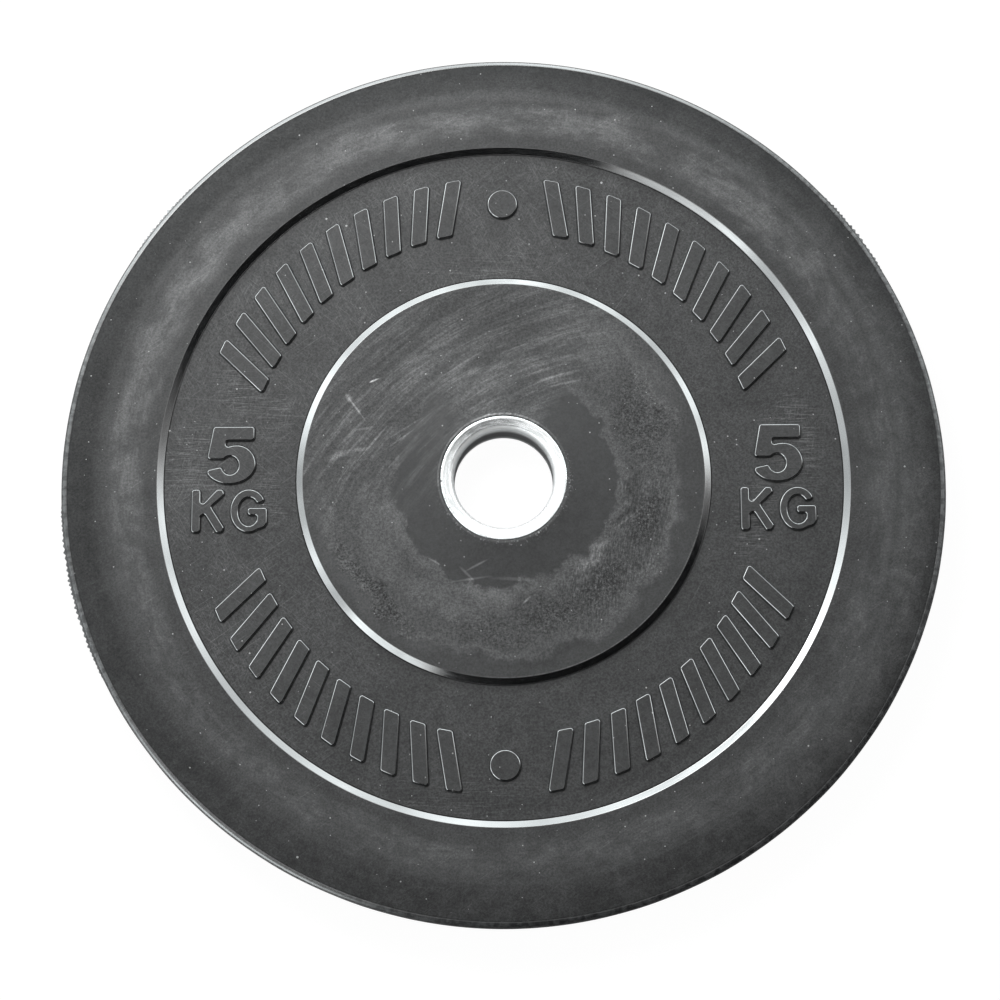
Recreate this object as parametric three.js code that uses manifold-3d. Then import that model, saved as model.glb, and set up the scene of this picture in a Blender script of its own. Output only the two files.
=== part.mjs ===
// Bumper plate: a thin rubber disc moulded round a steel bush that slides on a barbell sleeve.
// Lengths are millimetres and angles are degrees. The plate lies flat: +Z is the bore's axis
// and points out of the front face, and +Y is the top of the marks on that face. The origin is
// on the axis, in the plane that the lower end of the bush stands on.

import * as THREE from 'three';
import { mergeVertices } from 'three/addons/utils/BufferGeometryUtils.js';
import Module from 'manifold-3d';

const wasm = await Module();
wasm.setup();

// Bush
const boreDiameter = 50.6;
const bushWall = 6.6;
const bushLength = 26;
const bushEdgeRound = 0.4;
const bushFlatWidth = 0.9;
const bushDishWidth = 2.6;
const bushDishDepth = 0.7;
const bushThroatDepth = 4;

// Anchor disc, which holds the bush in the rubber
const anchorDiameter = 116;
const anchorThickness = 3;
const anchorHoleMargin = 3.9;
const anchorHoleCount = 8;
const weldWidth = 4;

// Rubber disc: the faces of its hub, web and rim
const plateDiameter = 450;
const bushProudHeight = 0.3;
const hubProudHeight = 0.3;
const hubDiameter = 204.2;
const hubBevelWidth = 10;
const hubBevelDepth = 0.3;
const webDepth = 2;
const wallWidth = 3.1;
const rimWidth = 49.1;
const rimBevelWidth = 18;
const rimBevelDepth = 1.9;
const treadEdgeWidth = 2.9;
const treadEdgeDepth = 2.6;

// Raised marks on the web: the weight at both sides, and bars and dots above and below
const markHeight = 1.4;
const markMargin = 13;
const barLength = 29;
const barWidth = 8;
const barSlantAngle = 20;
const barPitchAngle = 6.1;
const barFirstAngle = 11;
const barCount = 10;
const dotDiameter = 15;
const numeralHeight = 29.4;
const numeralWidth = 25.6;
const numeralStem = 8.2;
const numeralStroke = 4.8;
const numeralBar = 6.8;
const letterHeight = 21.8;
const kWidth = 16.2;
const kStem = 4.1;
const gWidth = 18.2;
const gStroke = 3.6;
const gBar = 3.3;
const letterGap = 3.5;
const lineGap = 3.2;

// Gap between pieces, and how far a cutting or joining body runs past the face it crosses
const clearance = 0.3;
const overrun = 1;

// Facets round a full turn, and along each curved stretch
const turnSteps = 72;
const holeSteps = 16;
const roundSteps = 3;
const throatSteps = 4;
const bowlSteps = 14;

// Shape of the marks, as shares of a mark's own width and height
const fiveBowlShare = 0.67;
const fiveTopShares = [0.17, 0.97];
const fiveFootShares = [0.05, 0.44];
const fiveShoulderShare = 0.414;
const fiveCrestShare = 0.133;
const fiveCrestAngles = [119, 90];
const fiveTailAngle = -161;
const fiveDropShare = 0.012;
const fiveInnerAngles = [-168, 138];
const kJoinShares = [0.369, 0.571];
const kElbowShares = [0.578, 0.602];
const kCrotchShares = [0.39, 0.464];
const kArmShare = 0.78;
const kTipShares = [0.945, 0.11];
const gOuterAngles = [27, 300];
const gInnerAngles = [-40, -323];
const gDropShare = 0.018;
const gHeelShares = [[0.93, 0.12], [1, 0.21]];
const gBarShares = [0.408, 0.564];
const gBarEndsShares = [0.48, 0.76];

const turn = 2 * Math.PI;
const quarterTurn = turn / 4;
const middle = bushLength / 2;

const boreRadius = boreDiameter / 2;
const bushRadius = boreRadius + bushWall;
const bushHoleRadius = bushRadius + clearance;
const weldToeRadius = bushHoleRadius + weldWidth;
const anchorRadius = anchorDiameter / 2;
const anchorHoleCentre = (anchorRadius + weldToeRadius) / 2;
const anchorHoleRadius = (anchorRadius - weldToeRadius) / 2 - anchorHoleMargin;
const anchorHalf = anchorThickness / 2;

const plateRadius = plateDiameter / 2;
const hubEdgeRadius = hubDiameter / 2;
const hubFootRadius = hubEdgeRadius + wallWidth;
const rimEdgeRadius = plateRadius - rimWidth;
const rimFootRadius = rimEdgeRadius - wallWidth;
const treadCornerRadius = plateRadius - treadEdgeWidth;
const webMiddleRadius = (hubFootRadius + rimFootRadius) / 2;
const hubHalf = middle - bushProudHeight;
const rimHalf = hubHalf - hubProudHeight;
const webHalf = rimHalf - webDepth;

// Points along part of an ellipse, both ends included
function ellipsePoints(centreX, centreY, radiusX, radiusY, fromAngle, toAngle, steps) {
  const points = [];
  for (let step = 0; step <= steps; step += 1) {
    const angle = THREE.MathUtils.degToRad(THREE.MathUtils.lerp(fromAngle, toAngle, step / steps));
    points.push([centreX + radiusX * Math.cos(angle), centreY + radiusY * Math.sin(angle)]);
  }
  return points;
}

// A ring turned about the Z axis. Its closed outline holds radii and heights, and runs up the
// outside, in along the top and down the inside.
function turned(outline) {
  const points = [...outline, outline[0]].map(([radius, height]) => new THREE.Vector2(radius, height));
  const geometry = new THREE.LatheGeometry(points, turnSteps);
  return geometry.rotateX(quarterTurn);
}

// The same outline on both faces, from what the upper half has between the outside and the bore
function mirrored(upperHalf) {
  const up = upperHalf.map(([radius, height]) => [radius, middle + height]);
  const down = upperHalf.map(([radius, height]) => [radius, middle - height]);
  return [...up, ...down.reverse()];
}

function solidOf(geometry) {
  geometry.deleteAttribute('normal');
  geometry.deleteAttribute('uv');
  const merged = mergeVertices(geometry);
  return new wasm.Manifold(new wasm.Mesh({
    numProp: 3,
    vertProperties: merged.attributes.position.array,
    triVerts: Uint32Array.from(merged.index.array),
  }));
}

function geometryOf(solid) {
  const mesh = solid.getMesh();
  const geometry = new THREE.BufferGeometry();
  geometry.setAttribute('position', new THREE.BufferAttribute(mesh.vertProperties, 3));
  geometry.setIndex(new THREE.BufferAttribute(mesh.triVerts, 1));
  geometry.computeVertexNormals();
  return geometry;
}

function shapeOf(points) {
  return new THREE.Shape(points.map(([x, y]) => new THREE.Vector2(x, y)));
}

// One raised mark, with its foot sunk into the web that it stands on
function raised(points) {
  const depth = markHeight + overrun;
  const geometry = new THREE.ExtrudeGeometry(shapeOf(points), { depth, bevelEnabled: false });
  return geometry.translate(0, 0, webHalf - overrun);
}

// Corners that are given as shares of a mark's width and height
function cornerPoints(width, height, shares) {
  return shares.map(([x, y]) => [width * x, height * y]);
}

// The numeral 5, from its lower left corner
function numeralFive() {
  const bowlX = numeralWidth / 2;
  const bowlY = numeralHeight * fiveBowlShare / 2;
  const crestX = bowlX + numeralWidth * fiveCrestShare;
  const hollowY = bowlY - numeralHeight * fiveDropShare;
  const innerX = bowlX - numeralStem;
  const innerY = bowlY - numeralStroke;
  const [left, right] = fiveTopShares;
  const barFoot = 1 - numeralBar / numeralHeight;
  const top = [[left, 1], [right, 1], [right, barFoot], [fiveShoulderShare, barFoot]];
  return [
    ...cornerPoints(numeralWidth, numeralHeight, top),
    ...ellipsePoints(crestX, bowlY, bowlX, bowlY, ...fiveCrestAngles, roundSteps),
    ...ellipsePoints(crestX, bowlY, numeralWidth - crestX, bowlY, 90, 0, bowlSteps / 2).slice(1),
    ...ellipsePoints(bowlX, bowlY, bowlX, bowlY, 0, fiveTailAngle, bowlSteps).slice(1),
    ...ellipsePoints(bowlX, hollowY, innerX, innerY, ...fiveInnerAngles, bowlSteps),
    ...cornerPoints(numeralWidth, numeralHeight, [fiveFootShares]),
  ];
}

// The letter K, from its lower left corner
function letterK() {
  const stem = kStem / kWidth;
  const [tip, cut] = kTipShares;
  const [lowJoin, highJoin] = kJoinShares;
  return cornerPoints(kWidth, letterHeight, [
    [0, 0], [0, 1], [stem, 1], [stem, highJoin],
    [kArmShare, 1], [tip, 1], [1, 1 - cut], kElbowShares, [1, cut], [tip, 0], [kArmShare, 0],
    kCrotchShares, [stem, lowJoin], [stem, 0],
  ]);
}

// The letter G, from its lower left corner
function letterG() {
  const centreX = gWidth / 2;
  const centreY = letterHeight / 2;
  const hollowY = centreY - letterHeight * gDropShare;
  const innerX = centreX - gStroke;
  const innerY = centreY - gBar;
  const [left, right] = gBarEndsShares;
  const [barFoot, barTop] = gBarShares;
  const corners = [...gHeelShares, [1, barTop], [left, barTop], [left, barFoot], [right, barFoot]];
  return [
    ...ellipsePoints(centreX, centreY, centreX, centreY, ...gOuterAngles, bowlSteps),
    ...cornerPoints(gWidth, letterHeight, corners),
    ...ellipsePoints(centreX, hollowY, innerX, innerY, ...gInnerAngles, bowlSteps),
  ];
}

// The weight at one side of the web: the numeral over its two letters
function weightMark(side) {
  const height = numeralHeight + lineGap + letterHeight;
  const lettersWidth = kWidth + letterGap + gWidth;
  const foot = -height / 2;
  const centreX = side * webMiddleRadius;
  const left = centreX - lettersWidth / 2;
  const numeral = raised(numeralFive());
  numeral.translate(centreX - numeralWidth / 2, foot + letterHeight + lineGap, 0);
  const firstLetter = raised(letterK()).translate(left, foot, 0);
  const secondLetter = raised(letterG()).translate(left + kWidth + letterGap, foot, 0);
  return [numeral, firstLetter, secondLetter];
}

// A slanted bar, centred at a radius and at an angle from the +Y axis
function bar(angle, lean, radius) {
  const half = barLength / 2;
  const shift = half * lean * Math.tan(THREE.MathUtils.degToRad(barSlantAngle));
  const left = -barWidth / 2;
  const right = barWidth / 2;
  const points = [
    [left - shift, -half],
    [right - shift, -half],
    [right + shift, half],
    [left + shift, half],
  ];
  return raised(points).translate(0, radius, 0).rotateZ(THREE.MathUtils.degToRad(angle));
}

// A run of bars to each side of a dot, above or below the hub
function barArc(centreAngle) {
  const radius = rimFootRadius - markMargin - barLength / 2;
  const dot = raised(ellipsePoints(0, 0, dotDiameter / 2, dotDiameter / 2, 0, 360, holeSteps).slice(1));
  const marks = [dot.translate(0, radius, 0).rotateZ(THREE.MathUtils.degToRad(centreAngle))];
  for (const lean of [1, -1]) {
    for (let index = 0; index < barCount; index += 1) {
      const angle = barFirstAngle + index * barPitchAngle;
      marks.push(bar(centreAngle + lean * angle, lean, radius));
    }
  }
  return marks;
}

// All the marks of one face, as they stand on the upper face about the middle plane
function faceMarks() {
  return [...weightMark(-1), ...weightMark(1), ...barArc(0), ...barArc(180)];
}

// A round post through the anchor disc's hole number index
function holePost(radius, height, index) {
  const post = new THREE.CylinderGeometry(radius, radius, height, holeSteps).rotateX(quarterTurn);
  post.translate(anchorHoleCentre, 0, middle);
  return solidOf(post.rotateZ(index * turn / anchorHoleCount));
}

// Rubber disc: hub, web and rim in one moulding, with the pocket that the anchor disc fills
function rubberBody() {
  const weldReach = weldWidth + clearance * Math.SQRT2;
  const pocketHalf = anchorHalf + clearance;
  const treadCorner = ellipsePoints(
    treadCornerRadius, rimHalf - rimBevelDepth - treadEdgeDepth,
    treadEdgeWidth, treadEdgeDepth, 0, 90, roundSteps);
  const outline = mirrored([
    ...treadCorner,
    [treadCornerRadius - rimBevelWidth, rimHalf],
    [rimEdgeRadius, rimHalf],
    [rimFootRadius, webHalf],
    [hubFootRadius, webHalf],
    [hubEdgeRadius, hubHalf - hubBevelDepth],
    [hubEdgeRadius - hubBevelWidth, hubHalf],
    [bushHoleRadius, hubHalf],
    [bushHoleRadius, pocketHalf + weldReach],
    [bushHoleRadius + weldReach, pocketHalf],
    [anchorRadius + clearance, pocketHalf],
  ]);
  let body = solidOf(turned(outline));
  for (let index = 0; index < anchorHoleCount; index += 1) {
    const height = 2 * (pocketHalf + overrun);
    body = body.add(holePost(anchorHoleRadius - clearance, height, index));
  }
  for (const mark of faceMarks()) {
    const front = mark.clone().translate(0, 0, middle);
    const back = mark.rotateX(turn / 2).translate(0, 0, middle);
    body = body.add(solidOf(front)).add(solidOf(back));
  }
  return geometryOf(body);
}

// Bush: a turned steel tube whose ends are dished and rounded into the bore
function hubSleeve() {
  const dishEdge = bushRadius - bushEdgeRound - bushFlatWidth;
  const throatRadius = dishEdge - bushDishWidth;
  const throatTop = middle - bushDishDepth;
  const throatWidth = throatRadius - boreRadius;
  const outerEdge = ellipsePoints(
    bushRadius - bushEdgeRound, middle - bushEdgeRound,
    bushEdgeRound, bushEdgeRound, 0, 90, roundSteps);
  const throat = ellipsePoints(
    throatRadius, throatTop - bushThroatDepth,
    throatWidth, bushThroatDepth, 90, 180, throatSteps);
  return turned(mirrored([...outerEdge, [dishEdge, middle], ...throat]));
}

// Anchor disc: sheet steel round the bush, with holes that the rubber flows through
function anchorFlange() {
  let disc = solidOf(turned(mirrored([
    [anchorRadius, anchorHalf],
    [bushHoleRadius, anchorHalf],
  ])));
  for (let index = 0; index < anchorHoleCount; index += 1) {
    disc = disc.subtract(holePost(anchorHoleRadius, anchorThickness + overrun, index));
  }
  return geometryOf(disc);
}

// Weld between the anchor disc and the bush, on the front face for side 1 and the back for -1
function weldBead(side) {
  const foot = anchorHalf + clearance;
  const outline = [
    [weldToeRadius, middle + side * foot],
    [bushHoleRadius, middle + side * (foot + weldWidth)],
    [bushHoleRadius, middle + side * foot],
  ];
  return turned(side > 0 ? outline : outline.reverse());
}

const rubber = new THREE.MeshStandardMaterial({ color: 0x3f4041, roughness: 0.62, metalness: 0 });
const zincPlate = new THREE.MeshStandardMaterial({ color: 0xc9cfd1, roughness: 0.28, metalness: 1 });
const bareSteel = new THREE.MeshStandardMaterial({ color: 0x85898c, roughness: 0.5, metalness: 1 });
const weldMetal = new THREE.MeshStandardMaterial({ color: 0x6c6f72, roughness: 0.6, metalness: 1 });

const group = new THREE.Group();

function addPiece(name, geometry, material) {
  const piece = new THREE.Mesh(geometry, material);
  piece.name = name;
  group.add(piece);
}

addPiece('rubber_body', rubberBody(), rubber);
addPiece('hub_sleeve', hubSleeve(), zincPlate);
addPiece('anchor_flange', anchorFlange(), bareSteel);
addPiece('weld_bead_front', weldBead(1), weldMetal);
addPiece('weld_bead_back', weldBead(-1), weldMetal);

export default group;
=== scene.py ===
import math

import bmesh
import bpy
import numpy as np
from mathutils import Matrix, Vector, geometry

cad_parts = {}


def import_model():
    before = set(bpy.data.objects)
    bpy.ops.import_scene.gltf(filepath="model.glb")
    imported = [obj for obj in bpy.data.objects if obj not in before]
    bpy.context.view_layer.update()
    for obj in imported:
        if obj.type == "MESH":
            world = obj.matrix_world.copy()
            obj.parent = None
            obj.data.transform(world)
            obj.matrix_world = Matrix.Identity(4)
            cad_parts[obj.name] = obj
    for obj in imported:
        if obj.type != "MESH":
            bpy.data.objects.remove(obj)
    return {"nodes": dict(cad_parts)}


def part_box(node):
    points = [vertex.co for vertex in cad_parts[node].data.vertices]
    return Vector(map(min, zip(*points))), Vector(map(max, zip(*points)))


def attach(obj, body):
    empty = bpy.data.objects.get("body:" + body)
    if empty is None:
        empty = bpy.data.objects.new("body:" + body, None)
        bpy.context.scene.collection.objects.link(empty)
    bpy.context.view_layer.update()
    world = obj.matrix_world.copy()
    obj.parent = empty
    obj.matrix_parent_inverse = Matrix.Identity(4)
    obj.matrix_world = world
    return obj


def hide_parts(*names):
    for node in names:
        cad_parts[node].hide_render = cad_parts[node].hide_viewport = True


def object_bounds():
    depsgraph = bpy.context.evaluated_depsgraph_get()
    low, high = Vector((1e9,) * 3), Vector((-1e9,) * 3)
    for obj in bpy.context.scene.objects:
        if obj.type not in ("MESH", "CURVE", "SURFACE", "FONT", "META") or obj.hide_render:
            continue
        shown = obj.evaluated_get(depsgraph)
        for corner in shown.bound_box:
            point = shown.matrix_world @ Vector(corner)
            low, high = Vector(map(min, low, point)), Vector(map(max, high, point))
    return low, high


# Bumper plate: its looks. Lengths are metres unless a name ends in mm, and angles are degrees.
# The plate lies flat, +Z points out of its front face and +Y is the top of the marks there.
# Heights in outlines are measured from the plate's middle plane, because both faces are alike.

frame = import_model()
cad_low, cad_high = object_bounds()

MM = 0.001

# Sizes that the frame gives
plate_radius = cad_high.x
middle = (cad_high.z + cad_low.z) / 2
bush_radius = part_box("hub_sleeve")[1].x
anchor_low, anchor_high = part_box("anchor_flange")
anchor_radius = anchor_high.x
anchor_half = (anchor_high.z - anchor_low.z) / 2

# Camera
camera_place = Vector((-0.00352, -0.2378, 1.1709))
camera_turn = (11.174, -0.022, -0.287)
camera_lens = 83.06
sensor_width = 36

# Bush
bore_radius = 0.0253
bush_growth = 0.16 * MM
bush_edge_round = 0.35 * MM
bush_flat_width = 0.9 * MM
bush_dish_width = 2.6 * MM
bush_dish_depth = 0.7 * MM
bush_throat_depth = 4 * MM

# Rubber disc
clearance = 0.3 * MM
bush_proud = 0.3 * MM
hub_proud = 0.3 * MM
hub_edge_radius = 0.1021
hub_bevel_width = 10 * MM
hub_bevel_depth = 0.3 * MM
web_depth = 2 * MM
wall_width = 3.1 * MM
rim_width = 49.1 * MM
rim_bevel_width = 18 * MM
rim_bevel_depth = 1.9 * MM
tread_edge_width = 2.9 * MM
tread_edge_depth = 2.6 * MM
tread_edge_sweep = 80
weld_width = 4 * MM
anchor_hole_margin = 3.9 * MM
anchor_hole_count = 8

# Small forms of the moulding: rounded edges, the ridge inside the tread edge and the lip at the bush
edge_round = 0.5 * MM
foot_round = 0.25 * MM
soft_round = 12 * MM
support = 0.3 * MM
tread_ridge_width = 0.7 * MM
tread_ridge_height = 0.08 * MM
tread_groove_width = 0.6 * MM
tread_groove_depth = 0.06 * MM
lip_width = 1.6 * MM
lip_height = 0.2 * MM
tread_inset = 0.1 * MM
# Shape of a ridge or a groove, as shares of its own width and height, from its outer side inwards
hump_shares = ((1 / 4, 3 / 4), (1 / 2, 1), (3 / 4, 3 / 4), (1, 0))

# Flash left at the mould's parting line, along the upper edge of the tread
flash_depth = 0.5 * MM
flash_height = 0.7 * MM
flash_least = 0.12 * MM
flash_most = 1.7 * MM
flash_tooth = 2.7 * MM
flash_steps = 2880
flash_sectors = ((183, 207), (136, 148), (29, 42))
# Waves that make it uneven: how often they go round the plate, and how much two of them change
flash_tooth_wave = 37
flash_tooth_shift = 0.4
flash_size_waves = (143, 61)
flash_size_share = 0.35
flash_edge_waves = (31, 7)

# Raised marks
mark_height = 1.4 * MM
mark_margin = 13 * MM
mark_corner = 1.3 * MM
mark_hollow = 1.4 * MM
mark_foot = 0.8 * MM
mark_foot_round = 0.15 * MM
mark_bevel_width = 0.3 * MM
mark_bevel_depth = 0.2 * MM
mark_edge_round = 0.08 * MM
bar_length = 29 * MM
bar_width = 8 * MM
bar_slant = 20
bar_pitch = 6.1
bar_first = 11
bar_count = 10
dot_diameter = 15 * MM
numeral_height = 29.4 * MM
numeral_width = 25.6 * MM
numeral_stem = 8.2 * MM
numeral_stroke = 4.8 * MM
numeral_bar = 6.8 * MM
letter_height = 21.8 * MM
k_width = 16.2 * MM
k_stem = 4.1 * MM
g_width = 18.2 * MM
g_stroke = 3.6 * MM
g_bar = 3.3 * MM
letter_gap = 3.5 * MM
line_gap = 3.2 * MM

# Shape of the marks, as shares of a mark's own width and height
five_bowl_share = 0.67
five_top_shares = (0.17, 0.97)
five_foot_shares = (0.05, 0.44)
five_shoulder_share = 0.414
five_crest_share = 0.133
five_crest_angles = (119, 90)
five_tail_angle = -161
five_drop_share = 0.012
five_inner_angles = (-168, 138)
k_join_shares = (0.369, 0.571)
k_elbow_shares = (0.578, 0.602)
k_crotch_shares = (0.39, 0.464)
k_arm_share = 0.78
k_tip_shares = (0.945, 0.11)
g_outer_angles = (27, 300)
g_inner_angles = (-40, -323)
g_drop_share = 0.018
g_heel_shares = ((0.93, 0.12), (1, 0.21))
g_bar_shares = (0.408, 0.564)
g_bar_ends_shares = (0.48, 0.76)

# Facets
turn_steps = 360
bush_steps = 192
hole_steps = 32
round_steps = 5
bowl_steps = 32
sharp_angle = 40
least_gap = MM / 1000
fill_tolerance_mm = 1e-6
# A bend above this is a corner. Points closer to one than this many times its rounding are dropped
least_corner = math.radians(25)
corner_clear_share = 1.2

# Radii and heights that follow
hub_half = middle - bush_proud
rim_half = hub_half - hub_proud
web_half = rim_half - web_depth
hub_foot_radius = hub_edge_radius + wall_width
rim_edge_radius = plate_radius - rim_width
rim_foot_radius = rim_edge_radius - wall_width
web_middle_radius = (hub_foot_radius + rim_foot_radius) / 2
mark_radius = rim_foot_radius - mark_margin - bar_length / 2
tread_corner_radius = plate_radius - tread_edge_width
rim_bevel_radius = tread_corner_radius - rim_bevel_width
tread_top = rim_half - rim_bevel_depth - tread_edge_depth
hole_radius = bush_radius + clearance
pocket_half = anchor_half + clearance
pocket_radius = anchor_radius + clearance
weld_reach = weld_width + clearance * math.sqrt(2)
post_centre = (anchor_radius + hole_radius + weld_width) / 2
post_radius = (anchor_radius - hole_radius - weld_width) / 2 - anchor_hole_margin - clearance

# Which material of the rubber a face has
HUB, WEB, RIM, GLOSS, TREAD = range(5)


# Outlines

def ellipse(centre, radii, angles, steps):
    """Points along part of an ellipse, both ends included."""
    shares = [step / steps for step in range(steps + 1)]
    turns = [math.radians(angles[0] + (angles[1] - angles[0]) * share) for share in shares]
    return [Vector((centre[0] + radii[0] * math.cos(turn), centre[1] + radii[1] * math.sin(turn)))
            for turn in turns]


def rounded_corner(before, corner, after, radius, steps):
    """The arc that takes the place of a corner."""
    back = (before - corner).normalized()
    ahead = (after - corner).normalized()
    half = back.angle(ahead) / 2
    centre = corner + (back + ahead).normalized() * radius / math.sin(half)
    start = corner + back * radius / math.tan(half) - centre
    end = corner + ahead * radius / math.tan(half) - centre
    first = math.atan2(start.y, start.x)
    sweep = math.remainder(math.atan2(end.y, end.x) - first, 2 * math.pi)
    angles = (math.degrees(first), math.degrees(first + sweep))
    return ellipse(centre, (radius, radius), angles, steps)


def with_neighbours(points):
    """Each point of a closed outline, between the one before and the one after it."""
    return zip(points[-1:] + points[:-1], points, points[1:] + points[:1])


def rounded_outline(points, radii, steps):
    """A counterclockwise outline with an arc in place of each corner and of what lies close to it.
    The radii are those of outer and of hollow corners."""
    corners = {}
    reaches = []
    for index, (before, point, after) in enumerate(with_neighbours(points)):
        back, ahead = point - before, after - point
        turn = back.angle(ahead)
        if turn > least_corner:
            corners[index] = radii[0] if back.cross(ahead) > 0 else radii[1]
            reaches.append((point, corner_clear_share * corners[index] * max(1, math.tan(turn / 2))))
    kept = [index for index, point in enumerate(points)
            if index in corners or all((point - corner).length > reach for corner, reach in reaches)]
    outline = []
    for before, index, after in with_neighbours(kept):
        if index in corners:
            outline += rounded_corner(points[before], points[index], points[after], corners[index], steps)
        else:
            outline.append(points[index])
    return outline


def profile(corners, steps=round_steps, reach=support):
    """An open outline of (radius, height, rounding) corners, with an arc and two supports at each."""
    places = [Vector(corner[:2]) for corner in corners]
    points = [places[0]]
    for index in range(1, len(corners) - 1):
        radius = corners[index][2]
        if radius == 0:
            points.append(places[index])
            continue
        arc = rounded_corner(places[index - 1], places[index], places[index + 1], radius, steps)
        for edge, towards, keep in ((arc[0], places[index - 1], 0), (arc[-1], places[index + 1], 1)):
            room = (towards - edge).length
            if room > 2 * reach:
                arc.insert(len(arc) * keep, edge + (towards - edge) * reach / room)
        points += arc
    points.append(places[-1])
    return points


def offset_outline(points, distance):
    """A counterclockwise outline moved outwards by a distance."""
    outline = []
    for before, corner, after in with_neighbours(points):
        back = (corner - before).normalized()
        ahead = (after - corner).normalized()
        normal = Vector((back.y, -back.x))
        middle_normal = (normal + Vector((ahead.y, -ahead.x))).normalized()
        outline.append(corner + middle_normal * distance / middle_normal.dot(normal))
    return outline


def toward(azimuth, elevation=0):
    """The direction of an azimuth and an elevation."""
    around, above = math.radians(azimuth), math.radians(elevation)
    return Vector((math.cos(around) * math.cos(above), math.sin(around) * math.cos(above), math.sin(above)))


def is_inside(outline, x, y):
    """Whether points lie inside an outline. x and y are arrays."""
    inside = np.zeros(len(x), bool)
    for index, end in enumerate(outline):
        start = outline[index - 1]
        crosses = (start.y > y) != (end.y > y)
        if start.y != end.y:
            crossing = start.x + (end.x - start.x) * (y - start.y) / (end.y - start.y)
            inside ^= crosses & (x < crossing)
    return inside


# Marks

def corner_points(width, height, shares):
    return [Vector((width * x, height * y)) for x, y in shares]


def numeral_five():
    """The numeral 5, from its lower left corner."""
    bowl = Vector((numeral_width, numeral_height * five_bowl_share)) / 2
    crest = bowl + Vector((numeral_width * five_crest_share, 0))
    hollow = bowl - Vector((0, numeral_height * five_drop_share))
    inner = (bowl.x - numeral_stem, bowl.y - numeral_stroke)
    bar_foot = 1 - numeral_bar / numeral_height
    top = ((five_top_shares[0], 1), (five_top_shares[1], 1),
           (five_top_shares[1], bar_foot), (five_shoulder_share, bar_foot))
    return [
        *corner_points(numeral_width, numeral_height, top),
        *ellipse(crest, bowl, five_crest_angles, round_steps),
        *ellipse(crest, (numeral_width - crest.x, bowl.y), (90, 0), bowl_steps // 2)[1:],
        *ellipse(bowl, bowl, (0, five_tail_angle), bowl_steps)[1:],
        *ellipse(hollow, inner, five_inner_angles, bowl_steps),
        *corner_points(numeral_width, numeral_height, (five_foot_shares,)),
    ]


def letter_k():
    """The letter K, from its lower left corner."""
    stem = k_stem / k_width
    tip, cut = k_tip_shares
    shares = ((0, 0), (0, 1), (stem, 1), (stem, k_join_shares[1]),
              (k_arm_share, 1), (tip, 1), (1, 1 - cut), k_elbow_shares, (1, cut), (tip, 0),
              (k_arm_share, 0), k_crotch_shares, (stem, k_join_shares[0]), (stem, 0))
    return corner_points(k_width, letter_height, shares)


def letter_g():
    """The letter G, from its lower left corner."""
    centre = Vector((g_width, letter_height)) / 2
    hollow = centre - Vector((0, letter_height * g_drop_share))
    inner = (centre.x - g_stroke, centre.y - g_bar)
    left, right = g_bar_ends_shares
    bar_foot, bar_top = g_bar_shares
    corners = (*g_heel_shares, (1, bar_top), (left, bar_top), (left, bar_foot), (right, bar_foot))
    return [
        *ellipse(centre, centre, g_outer_angles, bowl_steps),
        *corner_points(g_width, letter_height, corners),
        *ellipse(hollow, inner, g_inner_angles, bowl_steps),
    ]


def moved(points, x, y):
    return [point + Vector((x, y)) for point in points]


def turned(points, angle):
    """An outline turned about the plate's centre."""
    turn = Matrix.Rotation(math.radians(angle), 2)
    return [turn @ point for point in points]


def weight_mark(side):
    """The weight at one side of the web: the numeral over its two letters."""
    foot = -(numeral_height + line_gap + letter_height) / 2
    centre = side * web_middle_radius
    left = centre - (k_width + letter_gap + g_width) / 2
    return [
        moved(numeral_five(), centre - numeral_width / 2, foot + letter_height + line_gap),
        moved(letter_k(), left, foot),
        moved(letter_g(), left + k_width + letter_gap, foot),
    ]


def bar(angle, lean):
    """A slanted bar, at an angle from the +Y axis."""
    half = bar_length / 2
    shift = half * lean * math.tan(math.radians(bar_slant))
    edge = bar_width / 2
    corners = ((-edge - shift, -half), (edge - shift, -half), (edge + shift, half), (shift - edge, half))
    return turned(moved([Vector(corner) for corner in corners], 0, mark_radius), angle)


def bar_arc(centre_angle):
    """A run of bars to each side of a dot, above or below the hub."""
    dot = ellipse((0, mark_radius), (dot_diameter / 2,) * 2, (0, 360), 2 * hole_steps)[1:]
    marks = [turned(dot, centre_angle)]
    for lean in (1, -1):
        for index in range(bar_count):
            marks.append(bar(centre_angle + lean * (bar_first + index * bar_pitch), lean))
    return marks


def face_marks():
    """The outlines of all marks of one face, counterclockwise and with rounded corners."""
    outlines = []
    for points in weight_mark(-1) + weight_mark(1) + bar_arc(0) + bar_arc(180):
        area = sum(a.cross(b) for a, b in zip(points, points[1:] + points[:1]))
        outline = points if area > 0 else points[::-1]
        is_dot = len(points) == 2 * hole_steps
        radii = (mark_corner, mark_hollow)
        outlines.append(outline if is_dot else rounded_outline(outline, radii, round_steps))
    return outlines


# Meshes

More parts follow.
